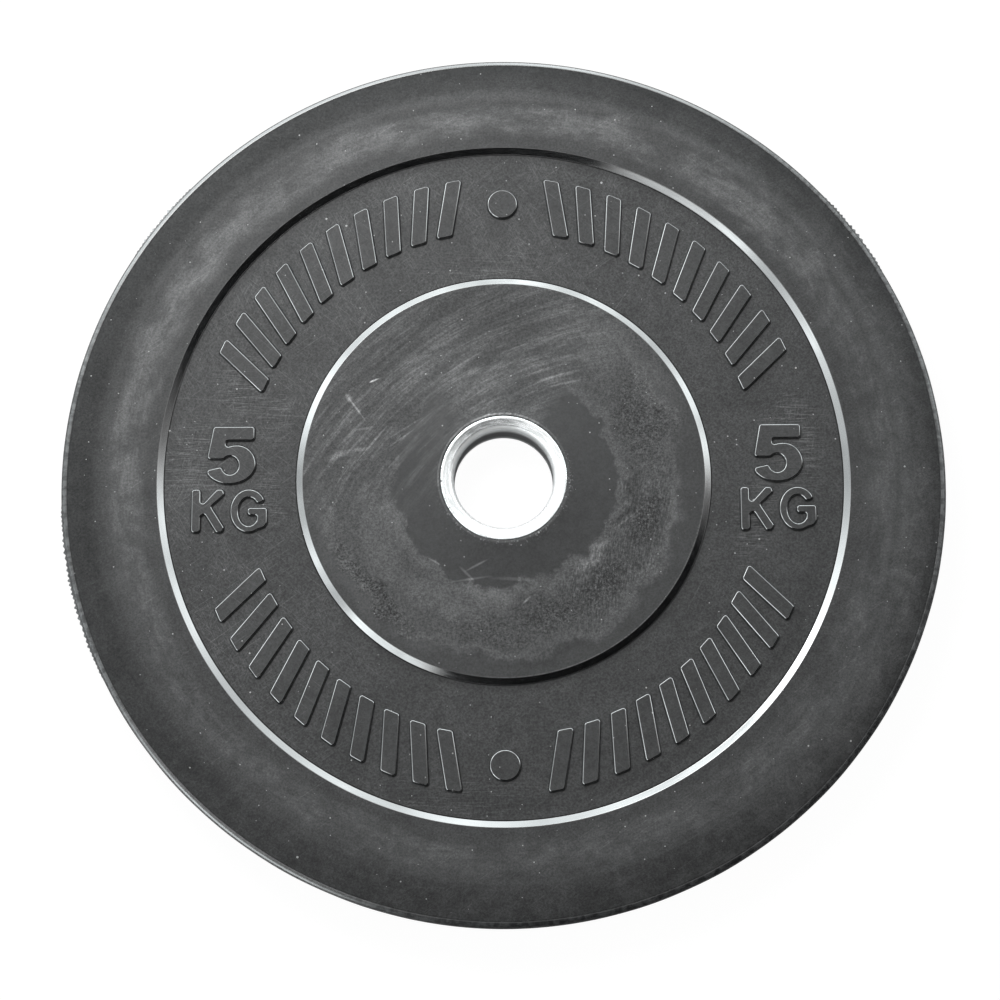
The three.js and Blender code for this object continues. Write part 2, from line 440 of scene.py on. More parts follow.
class Shell:
    """Points and faces of one mesh, gathered before it is made."""

    def __init__(self):
        self.points = []
        self.faces = []
        self.finishes = []

    def loop(self, outline, height):
        """Adds an outline's points at one height and gives their numbers."""
        first = len(self.points)
        self.points += [(point.x, point.y, height) for point in outline]
        return list(range(first, len(self.points)))

    def ring(self, radius, height, steps=turn_steps):
        angles = [2 * math.pi * step / steps for step in range(steps)]
        return self.loop([Vector((math.cos(a), math.sin(a))) * radius for a in angles], height)

    def face(self, corners, finish=HUB):
        self.faces.append(corners)
        self.finishes.append(finish)

    def bridge(self, first, second, finish=HUB):
        """Joins two loops of as many points. The second lies above or inside the first."""
        for index in range(len(first)):
            self.face((first[index - 1], first[index], second[index], second[index - 1]), finish)

    def lathe(self, points, finish, last=None, steps=turn_steps):
        """Turns an outline about the axis and gives its last ring. It runs up the outside and in along
        the top, from a ring that is there or a new one."""
        last = last or self.ring(*points[0], steps)
        for point in points[1:]:
            ring = self.ring(*point, steps)
            self.bridge(last, ring, finish)
            last = ring
        return last

    def wall(self, points, flats, last):
        """Turns a polished wall that runs from one flat to another."""
        last = self.lathe(points[:2], flats[0], last)
        last = self.lathe(points[1:-1], GLOSS, last)
        return self.lathe(points[-2:], flats[1], last)

    def fill(self, outer, inner, holes, finish, upwards):
        """Fills the flat space between two rings, round the holes."""
        loops = [outer, inner, *holes]
        outlines = [[Vector(self.points[number][:2]) for number in loop] for loop in loops]
        numbers = [number for loop in loops for number in loop]
        places = [place for outline in outlines for place in outline]
        edges = []
        first = 0
        for loop in loops:
            last = first + len(loop) - 1
            edges += [(last, first)] + [(n, n + 1) for n in range(first, last)]
            first = last + 1
        scaled = [place / MM for place in places]
        made = geometry.delaunay_2d_cdt(scaled, edges, [], 0, fill_tolerance_mm)
        triangles = np.array(made[2])
        corners = np.array([tuple(place) for place in places])[triangles]
        centres = corners.mean(axis=1)
        keep = is_inside(outlines[0], *centres.T)
        for outline in outlines[1:]:
            keep &= ~is_inside(outline, *centres.T)
        for triangle, corner in zip(triangles[keep], corners[keep]):
            along, across = corner[1] - corner[0], corner[2] - corner[0]
            is_up = along[0] * across[1] - along[1] * across[0] > 0
            ordered = triangle if is_up == upwards else triangle[::-1]
            self.face(tuple(numbers[number] for number in ordered), finish)

    def add_back(self):
        """Adds the other half of the plate: this one, turned over about the X axis."""
        count = len(self.points)
        self.points += [(x, -y, -height) for x, y, height in self.points]
        self.faces += [tuple(number + count for number in face) for face in self.faces]
        self.finishes += self.finishes


def placed(name, data):
    """A new object in the scene."""
    made = bpy.data.objects.new(name, data)
    bpy.context.scene.collection.objects.link(made)
    return made


def make_piece(name, shell, materials, replaced=None):
    """Makes the mesh, joins the points that halves share and hands the piece to the frame."""
    mesh = bpy.data.meshes.new(name)
    mesh.from_pydata([(x, y, middle + height) for x, y, height in shell.points], [], shell.faces)
    mesh.polygons.foreach_set("material_index", shell.finishes)
    work = bmesh.new()
    work.from_mesh(mesh)
    bmesh.ops.remove_doubles(work, verts=work.verts, dist=least_gap)
    work.to_mesh(mesh)
    work.free()
    mesh.shade_smooth()
    mesh.set_sharp_from_angle(angle=math.radians(sharp_angle))
    for material in materials:
        mesh.materials.append(material)
    piece = placed(name, mesh)
    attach(piece, "root")
    if replaced:
        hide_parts(replaced)


def mark_side():
    """How far outside its outline a mark's side runs, and how high, from the web to its flat top."""
    reach = mark_foot_round + mark_edge_round
    return profile([
        (mark_foot + reach, 0, 0),
        (mark_foot, 0, mark_foot_round),
        (0, mark_height - mark_bevel_depth, mark_edge_round),
        (-mark_bevel_width, mark_height, mark_edge_round),
        (-mark_bevel_width - mark_edge_round, mark_height, 0),
    ], round_steps // 2, mark_edge_round / 2)


def add_mark(shell, outline):
    """One raised mark with its sides, polished edge and flat top. Gives its foot's loop."""
    levels = mark_side()
    edge_low = mark_height - mark_bevel_depth - mark_edge_round / 4
    edge_high = mark_height - least_gap
    loops = [shell.loop(offset_outline(outline, level.x), web_half + level.y) for level in levels]
    for index in range(len(loops) - 1):
        is_edge = edge_low < levels[index].y < edge_high
        shell.bridge(loops[index], loops[index + 1], GLOSS if is_edge else WEB)
    shell.face(tuple(loops[-1]), WEB)
    return loops[0]


def tread_profile():
    """Half the tread and its rounded upper edge, up to the ridge inside it."""
    tread_radius = plate_radius - tread_inset
    halves = (tread_edge_width - tread_inset, tread_edge_depth)
    corner = ellipse((tread_corner_radius, tread_top), halves, (0, tread_edge_sweep), 2 * round_steps)
    return [Vector((tread_radius, 0)), Vector((tread_radius, tread_top - support)), *corner]


def hump(start, width, rise):
    """Radii and heights of a small ridge or groove that runs inwards from a radius."""
    return [(start - width * across, rise * up) for across, up in hump_shares]


def rubber_shell():
    """Rubber disc: hub, web and rim in one moulding, with the pocket that the anchor disc fills."""
    shell = Shell()
    tread = tread_profile()
    last = shell.lathe(tread, TREAD)
    slope = rim_bevel_depth / rim_bevel_width
    inward = tread[-1]
    for width, rise, finish in ((tread_ridge_width, tread_ridge_height, TREAD),
                                (tread_groove_width, -tread_groove_depth, RIM)):
        forms = [Vector((radius, rim_half - (radius - rim_bevel_radius) * slope + lift))
                 for radius, lift in hump(inward.x, width, rise)]
        last = shell.lathe([inward, *forms], finish, last)
        inward = forms[-1]
    rim_end = (rim_edge_radius + edge_round, rim_half, 0)
    rim = profile([(*inward, 0), (rim_bevel_radius, rim_half, soft_round), rim_end])
    last = shell.lathe(rim, RIM, last)
    rim_wall = profile([
        rim_end,
        (rim_edge_radius, rim_half, edge_round),
        (rim_foot_radius, web_half, foot_round),
        (rim_foot_radius - foot_round - support, web_half, 0),
    ])
    web_outer = shell.wall(rim_wall, (RIM, WEB), last)
    feet = [add_mark(shell, outline) for outline in face_marks()]
    hub_edge_half = hub_half - hub_bevel_depth
    hub_wall = profile([
        (hub_foot_radius + foot_round + support, web_half, 0),
        (hub_foot_radius, web_half, foot_round),
        (hub_edge_radius, hub_edge_half, edge_round),
        (hub_edge_radius - edge_round, hub_edge_half + edge_round * hub_bevel_depth / hub_bevel_width, 0),
    ])
    web_inner = shell.ring(*hub_wall[0])
    last = shell.wall(hub_wall, (WEB, HUB), web_inner)
    shell.fill(web_outer, web_inner, feet, WEB, True)
    lip_edge = hole_radius + lip_width
    hub = profile([
        (*hub_wall[-1], 0),
        (hub_edge_radius - hub_bevel_width, hub_half, soft_round),
        (lip_edge, hub_half, 0),
        *[(radius, hub_half + lift, 0) for radius, lift in hump(lip_edge, lip_width, lip_height)],
        (hole_radius, pocket_half + weld_reach, 0),
        (hole_radius + weld_reach, pocket_half, 0),
    ])
    ceiling_inner = shell.lathe(hub, HUB, last)
    ceiling_outer = shell.ring(pocket_radius, pocket_half)
    shell.bridge(ceiling_outer, shell.ring(pocket_radius, 0))
    posts = []
    for index in range(anchor_hole_count):
        post = ellipse((post_centre, 0), (post_radius, post_radius), (0, 360), hole_steps)[1:]
        post = turned(post, 360 * index / anchor_hole_count)
        posts.append(shell.loop(post, pocket_half))
        shell.bridge(shell.loop(post, 0), posts[-1])
    shell.fill(ceiling_outer, ceiling_inner, posts, HUB, False)
    shell.add_back()
    return shell


def wave(angle, *turns):
    """The product of sines that go round the plate so many times."""
    return math.prod(math.sin(count * angle) for count in turns)


def flash_shell():
    """The trimmed flash: a thin ridge along the tread's upper edge, toothed where the knife tore it."""
    shell = Shell()
    loops = [[], [], []]
    for step in range(flash_steps):
        angle = 2 * math.pi * step / flash_steps
        torn = 0
        for low, high in flash_sectors:
            share = (math.degrees(angle) - low) / (high - low)
            if 0 < share < 1:
                torn = math.sin(math.pi * share) ** 0.5
        place = angle * plate_radius / flash_tooth + flash_tooth_shift * wave(angle, flash_tooth_wave)
        tooth = 1 - abs(2 * (place % 1) - 1)
        tooth *= 1 - flash_size_share + flash_size_share * wave(angle, *flash_size_waves)
        reach = flash_least * (0.5 + 0.5 * wave(angle, *flash_edge_waves))
        reach += (flash_most - flash_least) * torn * tooth
        direction = Vector((math.cos(angle), math.sin(angle)))
        most = plate_radius / max(abs(direction.x), abs(direction.y))
        radius = min(plate_radius - tread_inset + reach, most)
        root = plate_radius - tread_inset - flash_depth
        for loop, distance, rise in zip(loops, (root, radius, root), (-flash_height, 0, flash_height)):
            loop.append(len(shell.points))
            shell.points.append((*(direction * distance), tread_top + rise))
    for index in range(3):
        shell.bridge(loops[index], loops[(index + 1) % 3], TREAD)
    return shell


def bush_shell():
    """Bush: a turned steel tube whose ends are dished and rounded into the bore."""
    side_radius = bush_radius + bush_growth
    dish_edge = side_radius - bush_edge_round - bush_flat_width
    throat_radius = dish_edge - bush_dish_width
    throat_top = middle - bush_dish_depth
    outer_edge = ellipse((side_radius - bush_edge_round, middle - bush_edge_round),
                         (bush_edge_round, bush_edge_round), (0, 90), round_steps)
    throat = ellipse((throat_radius, throat_top - bush_throat_depth),
                     (throat_radius - bore_radius, bush_throat_depth), (90, 180), 3 * round_steps)
    rim = profile([(*outer_edge[-1], 0), (dish_edge, middle, support), (*throat[0], 0)])
    side = [Vector((side_radius, 0)), Vector((side_radius, middle - bush_edge_round - support))]
    shell = Shell()
    shell.lathe([*side, *outer_edge, *rim[1:-1], *throat, Vector((bore_radius, 0))], HUB, steps=bush_steps)
    shell.add_back()
    return shell


# Materials

class Graph:
    """The nodes of one material or of the world. A value is a number, a colour or a node's output."""

    def __init__(self, owner):
        owner.use_nodes = True
        self.owner = owner
        self.tree = owner.node_tree
        self.shader = self.tree.nodes.get("Principled BSDF")

    def give(self, socket, value):
        if isinstance(value, bpy.types.NodeSocket):
            self.tree.links.new(value, socket)
        else:
            socket.default_value = value

    def node(self, kind, inputs=(), **settings):
        made = self.tree.nodes.new(kind)
        for name, value in settings.items():
            setattr(made, name, value)
        for key, value in dict(inputs).items():
            self.give(made.inputs[key], value)
        return made

    def math(self, operation, *values):
        return self.node("ShaderNodeMath", enumerate(values), operation=operation).outputs[0]

    def fold(self, operation, values):
        result = values[0]
        for value in values[1:]:
            result = self.math(operation, result, value)
        return result

    def product(self, *values):
        return self.fold("MULTIPLY", values)

    def most(self, *values):
        return self.fold("MAXIMUM", values)

    def total(self, *values):
        return self.fold("ADD", values)

    def gain(self, value, amount, base=1.0):
        """A value times an amount, on top of a base."""
        return self.math("MULTIPLY_ADD", value, amount, base)

    def vector(self, operation, first, second=(0, 0, 0), scale=1.0):
        inputs = {0: first, 1: second, 3: scale}
        made = self.node("ShaderNodeVectorMath", inputs, operation=operation)
        return made.outputs["Value" if operation in ("LENGTH", "DOT_PRODUCT") else "Vector"]

    def joined(self, x=0.0, y=0.0, z=0.0):
        return self.node("ShaderNodeCombineXYZ", {0: x, 1: y, 2: z}).outputs[0]

    def steps(self, value, low, high, out_low=0.0, out_high=1.0):
        """A smooth step from low to high."""
        inputs = {0: value, 1: low, 2: high, 3: out_low, 4: out_high}
        return self.node("ShaderNodeMapRange", inputs, interpolation_type="SMOOTHSTEP").outputs[0]

    def band(self, value, rise, fall):
        """1 between two smooth steps and 0 outside them."""
        return self.product(self.steps(value, *rise), self.steps(value, *fall[::-1]))

    def noise(self, vector, scale, detail, roughness, distortion=0.0, output=0):
        inputs = {"Vector": vector, "Scale": scale, "Detail": detail, "Roughness": roughness,
                  "Distortion": distortion}
        return self.node("ShaderNodeTexNoise", inputs).outputs[output]

    def mix(self, share, first, second):
        """Mixes two colours."""
        inputs = {0: share, 6: first, 7: second}
        return self.node("ShaderNodeMix", inputs, data_type="RGBA").outputs[2]

    def blend(self, share, first, second):
        """Mixes two numbers."""
        return self.node("ShaderNodeMix", {0: share, 2: first, 3: second}).outputs[0]

    def rays(self, *kinds):
        """1 for rays of these kinds."""
        path = self.node("ShaderNodeLightPath")
        return self.most(*[path.outputs[f"Is {kind} Ray"] for kind in kinds])

    def bump(self, height, distance_mm, strength=1.0):
        inputs = {"Height": height, "Distance": distance_mm * MM, "Strength": strength}
        return self.node("ShaderNodeBump", inputs).outputs[0]

    def finish(self, **values):
        """Sets the shader's sockets and gives the material. Underscores in a name stand for spaces."""
        for name, value in values.items():
            self.give(self.shader.inputs[name.replace("_", " ")], value)
        return self.owner


class PlateGraph(Graph):
    """A material with the plate's own coordinates, in millimetres and about its axis."""

    def __init__(self, name):
        super().__init__(bpy.data.materials.new(name))
        place = self.node("ShaderNodeTexCoord").outputs["Object"]
        raw = self.node("ShaderNodeSeparateXYZ", {0: self.vector("SCALE", place, scale=1 / MM)}).outputs
        height = self.math("SUBTRACT", raw[2], middle / MM)
        side = self.math("SIGN", height)
        across = self.math("MULTIPLY", raw[1], side)
        self.level = self.math("ABSOLUTE", height)
        self.depth = self.gain(side, face_shift_mm, height)
        self.place = self.joined(raw[0], across, self.depth)
        self.flat = self.joined(raw[0], across)
        self.radius = self.vector("LENGTH", self.flat)
        self.direction = self.vector("NORMALIZE", self.flat)

    def stretched(self, direction, reach, turns, across, *grain):
        """Noise that is stretched along circles. It changes so often round one, and so often in each
        millimetre of reach. The grain is the noise's detail, roughness and distortion."""
        circle = self.vector("SCALE", direction, scale=turns)
        rise = self.joined(z=self.gain(reach, across, self.depth))
        return self.noise(self.vector("ADD", circle, rise), 1.0, *grain)

    def around(self, turns, across, *grain):
        """Noise that is stretched along circles about the plate's centre."""
        return self.stretched(self.direction, self.radius, turns, across, *grain)

    def swirl(self, centre, length_mm, width_mm, *grain):
        """Noise that is stretched along circles about a far point."""
        offset = self.vector("SUBTRACT", self.flat, (*centre, 0))
        turns = math.hypot(*centre) / length_mm
        return self.stretched(self.vector("NORMALIZE", offset), self.vector("LENGTH", offset),
                              turns, 1 / width_mm, *grain)

    def pushed(self, reach_mm):
        """The plate's flat coordinates, pushed about by noise."""
        push = self.noise(self.place, 0.05, 5.0, 0.62, output="Color")
        push = self.vector("MULTIPLY", self.vector("SUBTRACT", push, (0.5, 0.5, 0)), (1, 1, 0))
        return self.vector("ADD", self.flat, self.vector("SCALE", push, scale=reach_mm))

    def blot(self, place, centre, angle, halves, gain):
        """The gain inside an ellipse with soft sides. Its long side lies at an angle."""
        inputs = {"Vector": place, "Location": (*centre, 0), "Rotation": (0, 0, math.radians(angle)),
                  "Scale": (*halves, 1)}
        scaled = self.node("ShaderNodeMapping", inputs, vector_type="TEXTURE").outputs[0]
        return self.steps(self.vector("LENGTH", scaled), 1 + blot_softness, 1 - blot_softness, 0, gain)

    def patches(self, place, table):
        """The most of some blots along the circle."""
        return self.most(*[self.blot(place, toward(azimuth).xy * radius, azimuth + 90, halves, gain)
                           for azimuth, radius, *halves, gain in table])

    def strokes(self, table):
        """The sum of single strokes."""
        return self.total(*[self.blot(self.flat, (x, y), angle, halves, gain)
                            for x, y, angle, *halves, gain in table])

    def facing(self, azimuth):
        """1 on the side of the plate at an azimuth, falling to 0 on the far side."""
        return self.gain(self.vector("DOT_PRODUCT", self.direction, toward(azimuth)), 0.5, 0.5)

    def sector(self, azimuth, *ends):
        """A smooth step of how far a place faces an azimuth."""
        return self.steps(self.facing(azimuth), *ends)

    def zone(self, radius, limits, *sector):
        """1 past a step of the radius or inside a band, on one side of the plate."""
        is_band = isinstance(limits[0], tuple)
        ring = self.band(radius, *limits) if is_band else self.steps(radius, *limits)
        return self.product(ring, self.sector(*sector))

    def scratches(self, table):
        """The most of some sets of fine straight lines."""
        sets = []
        for angle, length, width, least, shift, rise in table:
            inputs = {"Vector": self.place, "Angle": math.radians(-angle)}
            along = self.node("ShaderNodeVectorRotate", inputs, rotation_type="Z_AXIS").outputs[0]
            inputs = {"Vector": along, "Location": (shift,) * 3, "Scale": (1 / length, 1 / width, 1)}
            lines = self.noise(self.node("ShaderNodeMapping", inputs).outputs[0], 1.0, 1.0, 0.4)
            sets.append(self.steps(lines, least, least + rise))
        return self.most(*sets)

    def ring_mark(self, radius, half_mm):
        """1 on a circle, falling to 0 at a distance from it."""
        distance = self.math("ABSOLUTE", self.math("SUBTRACT", self.radius, radius / MM))
        return self.steps(distance, half_mm, ring_core_share * half_mm)

    def specks(self, spacing_mm, size_mm, shift):
        """Small dots, one or none in each cell."""
        place = self.vector("ADD", self.place, (shift, shift, 0))
        cells = self.node("ShaderNodeTexVoronoi", {"Vector": place, "Scale": 1 / spacing_mm}).outputs
        chance = self.node("ShaderNodeSeparateColor", {0: cells["Color"]}).outputs[0]
        return self.math("LESS_THAN", cells["Distance"], self.product(chance, size_mm / spacing_mm))


# Distance between the noise of the two faces, softness of a blot's side and full share of a ring mark
face_shift_mm = 31
blot_softness = 0.6
ring_core_share = 0.2
# Rubber: tint, level and shine, and the colour of the dust on it
rubber_tint = (0.985, 1.0, 1.01)
rubber_tone = 0.0385
rubber_shine = 0.3
dust_white = (0.55, 0.56, 0.56, 1)
# Dust: distance between cells and size of its specks, and where the pattern starts
dust_specks = ((11, 0.6, 3.0), (5, 0.36, 11.0))

# Parts of the hub, in millimetres: azimuth, radius, half length along the circle, half width and gain
hub_light = ((61, 85, 21, 14, 0.5), (72, 61, 15, 4, 0.5), (107, 52, 12, 7, 0.5), (152, 53, 12, 5, 0.4),
             (122, 69, 16, 6, 0.5), (164, 82, 18, 6, 0.45), (198, 66, 17, 9, 0.4), (243, 70, 20, 6, 0.5),
             (318, 61, 13, 3, 0.9), (347, 90, 18, 4, 0.3), (327, 86, 8, 3, 0.45), (40, 93, 24, 4, 0.5),
             (192, 92, 26, 6, 0.45), (216, 93, 24, 5, 0.5), (212, 74, 12, 5, 0.45), (262, 62, 14, 5, 0.5),
             (30, 90, 16, 6, 0.5), (240, 93, 16, 4, 0.4), (105, 56, 5, 3, 0.9), (92, 57, 6, 2, 0.7),
             (5, 76, 22, 9, 0.22))
hub_dim = ((93, 84, 22, 9, 0.3), (128, 81, 14, 5, 0.24), (343, 77, 13, 5, 0.1), (150, 66, 10, 5, 0.24),
           (165, 68, 20, 8, 0.1), (110, 95, 22, 5, 0.3), (98, 63, 8, 3, 0.35), (283, 92, 18, 4, 0.25),
           (355, 66, 10, 5, 0.3))
hub_speckled = ((222, 87, 26, 5, 1.0), (314, 75, 16, 8, 1.0), (22, 76, 22, 13, 0.8), (290, 73, 18, 8, 0.9),
                (343, 76, 13, 6, 1.0), (265, 78, 20, 8, 0.5))
# Where the web is scuffed, the same way
web_scuffs = ((176, 156, 20, 14, 1.0), (160, 142, 16, 12, 1.0), (185, 122, 14, 8, 0.9), (8, 150, 22, 12, 0.9),
              (350, 128, 20, 9, 0.8), (95, 112, 30, 7, 0.5), (262, 160, 40, 9, 0.4), (165, 120, 12, 8, 0.8))
# Single strokes: middle x and y, angle, half length, half width and gain
hub_strokes = (
    (-66, 51, 24, 2.1, 0.4, 14.0), (-79, 42, -58, 2.8, 1.2, 1.6), (-75, 36.5, -54, 7, 0.45, 2.2),
    (-84, 12, 18, 9, 1.5, 1.0), (-76, 25, 47, 10, 0.8, 1.2), (-72, 21, 47, 8, 0.7, 1.2),
    (-66, 19, 50, 9, 0.5, 1.1), (-70, 26, 10, 4, 0.6, 1.4), (-73, 15, 5, 5, 0.9, 1.1),
    (-50, 26, 32, 9, 0.4, 1.1), (-53, 20, 35, 8, 0.4, 1.1), (-14, -45, 28, 5, 0.5, 2.0),
    (-19, -49, -44, 4, 0.6, 1.6), (-17, -52, 8, 8, 0.5, 1.2), (4, -52, -3, 9, 0.8, 0.8),
    (11, -63, 45, 2.2, 0.5, 2.0), (28, 53, 15, 12, 0.8, 0.9), (24, 57, 17, 10, 0.6, 0.9),
    (31, 49, 12, 8, 0.5, 0.9), (61, -19, 38, 9, 1.0, -0.45), (63, -21, 38, 10, 0.5, 0.7),
    (-35, -43, -30, 3, 0.4, 1.2), (2, 57, 25, 5, 1.2, -0.3), (-20, 60, 32, 9, 0.6, 0.8),
)
web_strokes = ((62, 95, 56, 9, 0.3, 0.8), (-62, 92, -42, 6, 0.3, 0.6), (-98, 48, -38, 7, 0.3, 0.6),
               (96, -60, 62, 8, 0.3, 0.5), (-118, 34, -4, 22, 0.4, 0.6), (-150, 42, -3, 18, 0.35, 0.5))
# Sets of fine lines: angle, length and width, least noise that shows, shift of the noise and its rise
hub_strands = ((80, 3.0, 0.75, 0.36, 15, 0.3),)
web_dashes = ((-3, 18, 0.5, 0.56, 0, 0.1), (4, 10, 0.45, 0.6, 70, 0.08))
web_steep_dashes = ((80, 9, 0.5, 0.60, 40, 0.1),)
web_dark_lines = ((3, 9, 0.6, 0.56, 120, 0.1),)
web_hairs = ((35, 24, 0.5, 0.67, 90, 0.06), (-38, 18, 0.45, 0.67, 300, 0.06))
web_brushed = ((118, 9, 0.45, 0.55, 210, 0.12), (66, 7, 0.45, 0.57, 160, 0.12))
rim_hairs = ((35, 24, 0.5, 0.68, 90, 0.06),)
# Zones: radii between which one starts, or starts and ends, the azimuth that it faces and how far round
hub_smooth = ((57.5, 55), 92, 0.95, 0.87)
hub_fringe = (((86, 89), (90, 92)), 320, 0.5, 0.8)
hub_border = (((55, 57.5), (59, 66)), 304, 0.16, 0.44)
hub_edge = ((90, 94), 290, 0.2, 0.6)
hub_strands_zone = (((57, 62), (86, 90)), 330, 0.86, 0.97)
# Painted shadow on the web: beside the rim wall at the top, beside the hub wall at the bottom and in a band
# on the lower right
web_painted_shadows = (((rim_foot_radius / MM - 7, rim_foot_radius / MM), 105, 0.6, 0.95),
              ((hub_foot_radius / MM + 5, hub_foot_radius / MM), 280, 0.6, 0.95),
              (((158, 162), (166, 170)), 295, 0.72, 0.92, 0, 0.45))
# A bloomed band with painted sheen, strongest towards azimuth 108
rim_bloom_and_sheen = (((180, 189), (195, 203)), 108, 0.35, 0.95, 0.5, 1.55)
rim_far_bloom = (((199, 205), (212, 221)), 35, 0.42, 0.85)
rim_bevel_mm = (202, 212)
# Rings: radius in metres and half width in millimetres. The lip's and the hub edge's are painted highlights,
# those at the feet of the walls and at the groove are painted shade, and the nicks and the tear at the bush
# are wear
lip_highlight_ring = (hole_radius + lip_width * 2 / 3, 0.8)
nicks_ring = (hole_radius + lip_width, 2.6)
edge_highlight_ring = (hub_edge_radius - 0.3 * MM, 0.5)
wall_foot_shade_rings = ((rim_foot_radius - 0.25 * MM, 0.6), (hub_foot_radius + 0.25 * MM, 0.6))
groove_shade_ring = (tread_corner_radius - tread_groove_width, 0.5)
torn_ring = (bush_radius, 0.9)
# Heights over the web at which a mark's side and its top start
mark_side_mm = ((0.05, 0.15), (1.1, 1.2))
mark_top_mm = (0.9, 1.2)
# Bush: how far the throat reaches from the bore, how deep its painted highlight, and where the painted shade
# in the bore starts and ends
throat_mm = (2.4, 1.3)
throat_highlight_mm = (3.5, 1.5)
bore_shade_mm = (2.6, 9.8)
# Far point that the hub was wiped about
wipe_centre_mm = (75, -98)


def moulded(graph, tones, zones, lines, rough_grain, dull):
    """A moulded face with grain, lines and a little dust. Its colour is the product of tones and of
    zones, each of which has a gain."""
    mottle = graph.noise(graph.place, 0.22, 4.0, 0.65)
    grain = graph.noise(graph.place, 0.9, 3.0, 0.7)
    fine = graph.noise(graph.place, 2.2, 2.0, 0.6)
    tone = graph.product(
        rubber_tone,
        graph.gain(graph.steps(grain, 0.25, 0.75, -0.5, 0.55), rough_grain),
        graph.gain(graph.steps(fine, 0.25, 0.75, -0.4, 0.4), rough_grain),
        graph.steps(mottle, 0.3, 0.7, 0.88, 1.13),
        graph.total(lines, 1.0),
        *tones,
        *[graph.gain(*zone) for zone in zones])
    colour = graph.vector("SCALE", rubber_tint, scale=tone)
    dots = graph.most(*[graph.specks(*sizes) for sizes in dust_specks])
    colour = graph.mix(graph.product(dots, 0.8), colour, dust_white)
    relief = graph.gain(mottle, 2.0, graph.product(grain, rough_grain))
    relief = graph.gain(graph.math("MINIMUM", lines, 1.0), -0.5, relief)
    uneven = graph.gain(graph.steps(grain, 0.25, 0.75, -0.6, 0.6), rough_grain)
    return graph.finish(
        Base_Color=colour, Roughness=graph.steps(mottle, 0.3, 0.7, 0.46, 0.60), IOR=1.5,
        Specular_IOR_Level=graph.product(rubber_shine, uneven, graph.gain(dull, -1.0)),
        Normal=graph.bump(relief, 0.06, 0.8))


def hub_rubber():
    """The hub: smooth round the bush and along its edge, wiped at its upper left, clouded elsewhere. Painted
    shading darkens it towards azimuth 110, and painted highlights run along the lip round the bush and along
    its edge on the lower right.
    """
    graph = PlateGraph("hub_rubber")
    pushed = graph.pushed(28)
    ragged = graph.vector("LENGTH", pushed)
    wiped = graph.sector(124, 0.56, 0.84)
    inner, border, fringe, edge_zone = [
        graph.zone(ragged, *zone) for zone in (hub_smooth, hub_border, hub_fringe, hub_edge)]

    sweep = graph.swirl(wipe_centre_mm, 24, 4.5, 5.0, 0.68)
    hair = graph.swirl(wipe_centre_mm, 14, 0.8, 2.0, 0.5)
    wipes = graph.steps(sweep, 0.40, 0.61, -0.32, 0.36)
    hairs = graph.product(graph.steps(hair, 0.4, 0.64, -0.2, 0.46), graph.steps(sweep, 0.42, 0.58))
    strands = graph.gain(graph.scratches(hub_strands), 1.0, -0.5)

    specks = graph.noise(graph.place, 0.95, 2.0, 0.7)
    speckled = graph.patches(pushed, hub_speckled)
    # The first tone is painted shading: darker towards azimuth 110 and lighter on the far side
    tones = (
        graph.gain(graph.facing(110), -0.36, 1.78),
        graph.gain(graph.product(speckled, graph.steps(specks, 0.46, 0.53)), -0.7, 1.1))
    zones = (
        (graph.total(wipes, hairs), wiped),
        (graph.patches(pushed, hub_light), 1.0),
        (graph.patches(pushed, hub_dim), -1.0),
        (graph.product(strands, graph.zone(ragged, *hub_strands_zone)), 0.65),
        (inner, -0.32),
        (edge_zone, -0.34),
        (graph.gain(fringe, 0.5, border), 0.36),
        # Painted highlight along the lip round the bush, strongest towards azimuth 120
        (graph.ring_mark(*lip_highlight_ring), graph.sector(120, 0.35, 1.0, 0.6, 2.6)))
    # Painted highlight along the hub's edge on the lower right, broken up by specks
    edge_highlight = graph.product(graph.ring_mark(*edge_highlight_ring), graph.sector(308, 0.78, 0.92),
                         graph.steps(specks, 0.35, 0.5))
    nicks = graph.product(graph.ring_mark(*nicks_ring), graph.sector(290, 0.3, 0.6, 0.5, 1.6),
                          graph.steps(specks, 0.59, 0.65))
    lines = graph.gain(graph.total(edge_highlight, nicks), 1.6, graph.strokes(hub_strokes))
    calm = graph.most(inner, graph.product(edge_zone, 0.7))
    rough_grain = graph.product(graph.gain(speckled, 0.5, 0.7), graph.gain(calm, -0.7))
    return moulded(graph, tones, zones, lines, rough_grain, 0.0)


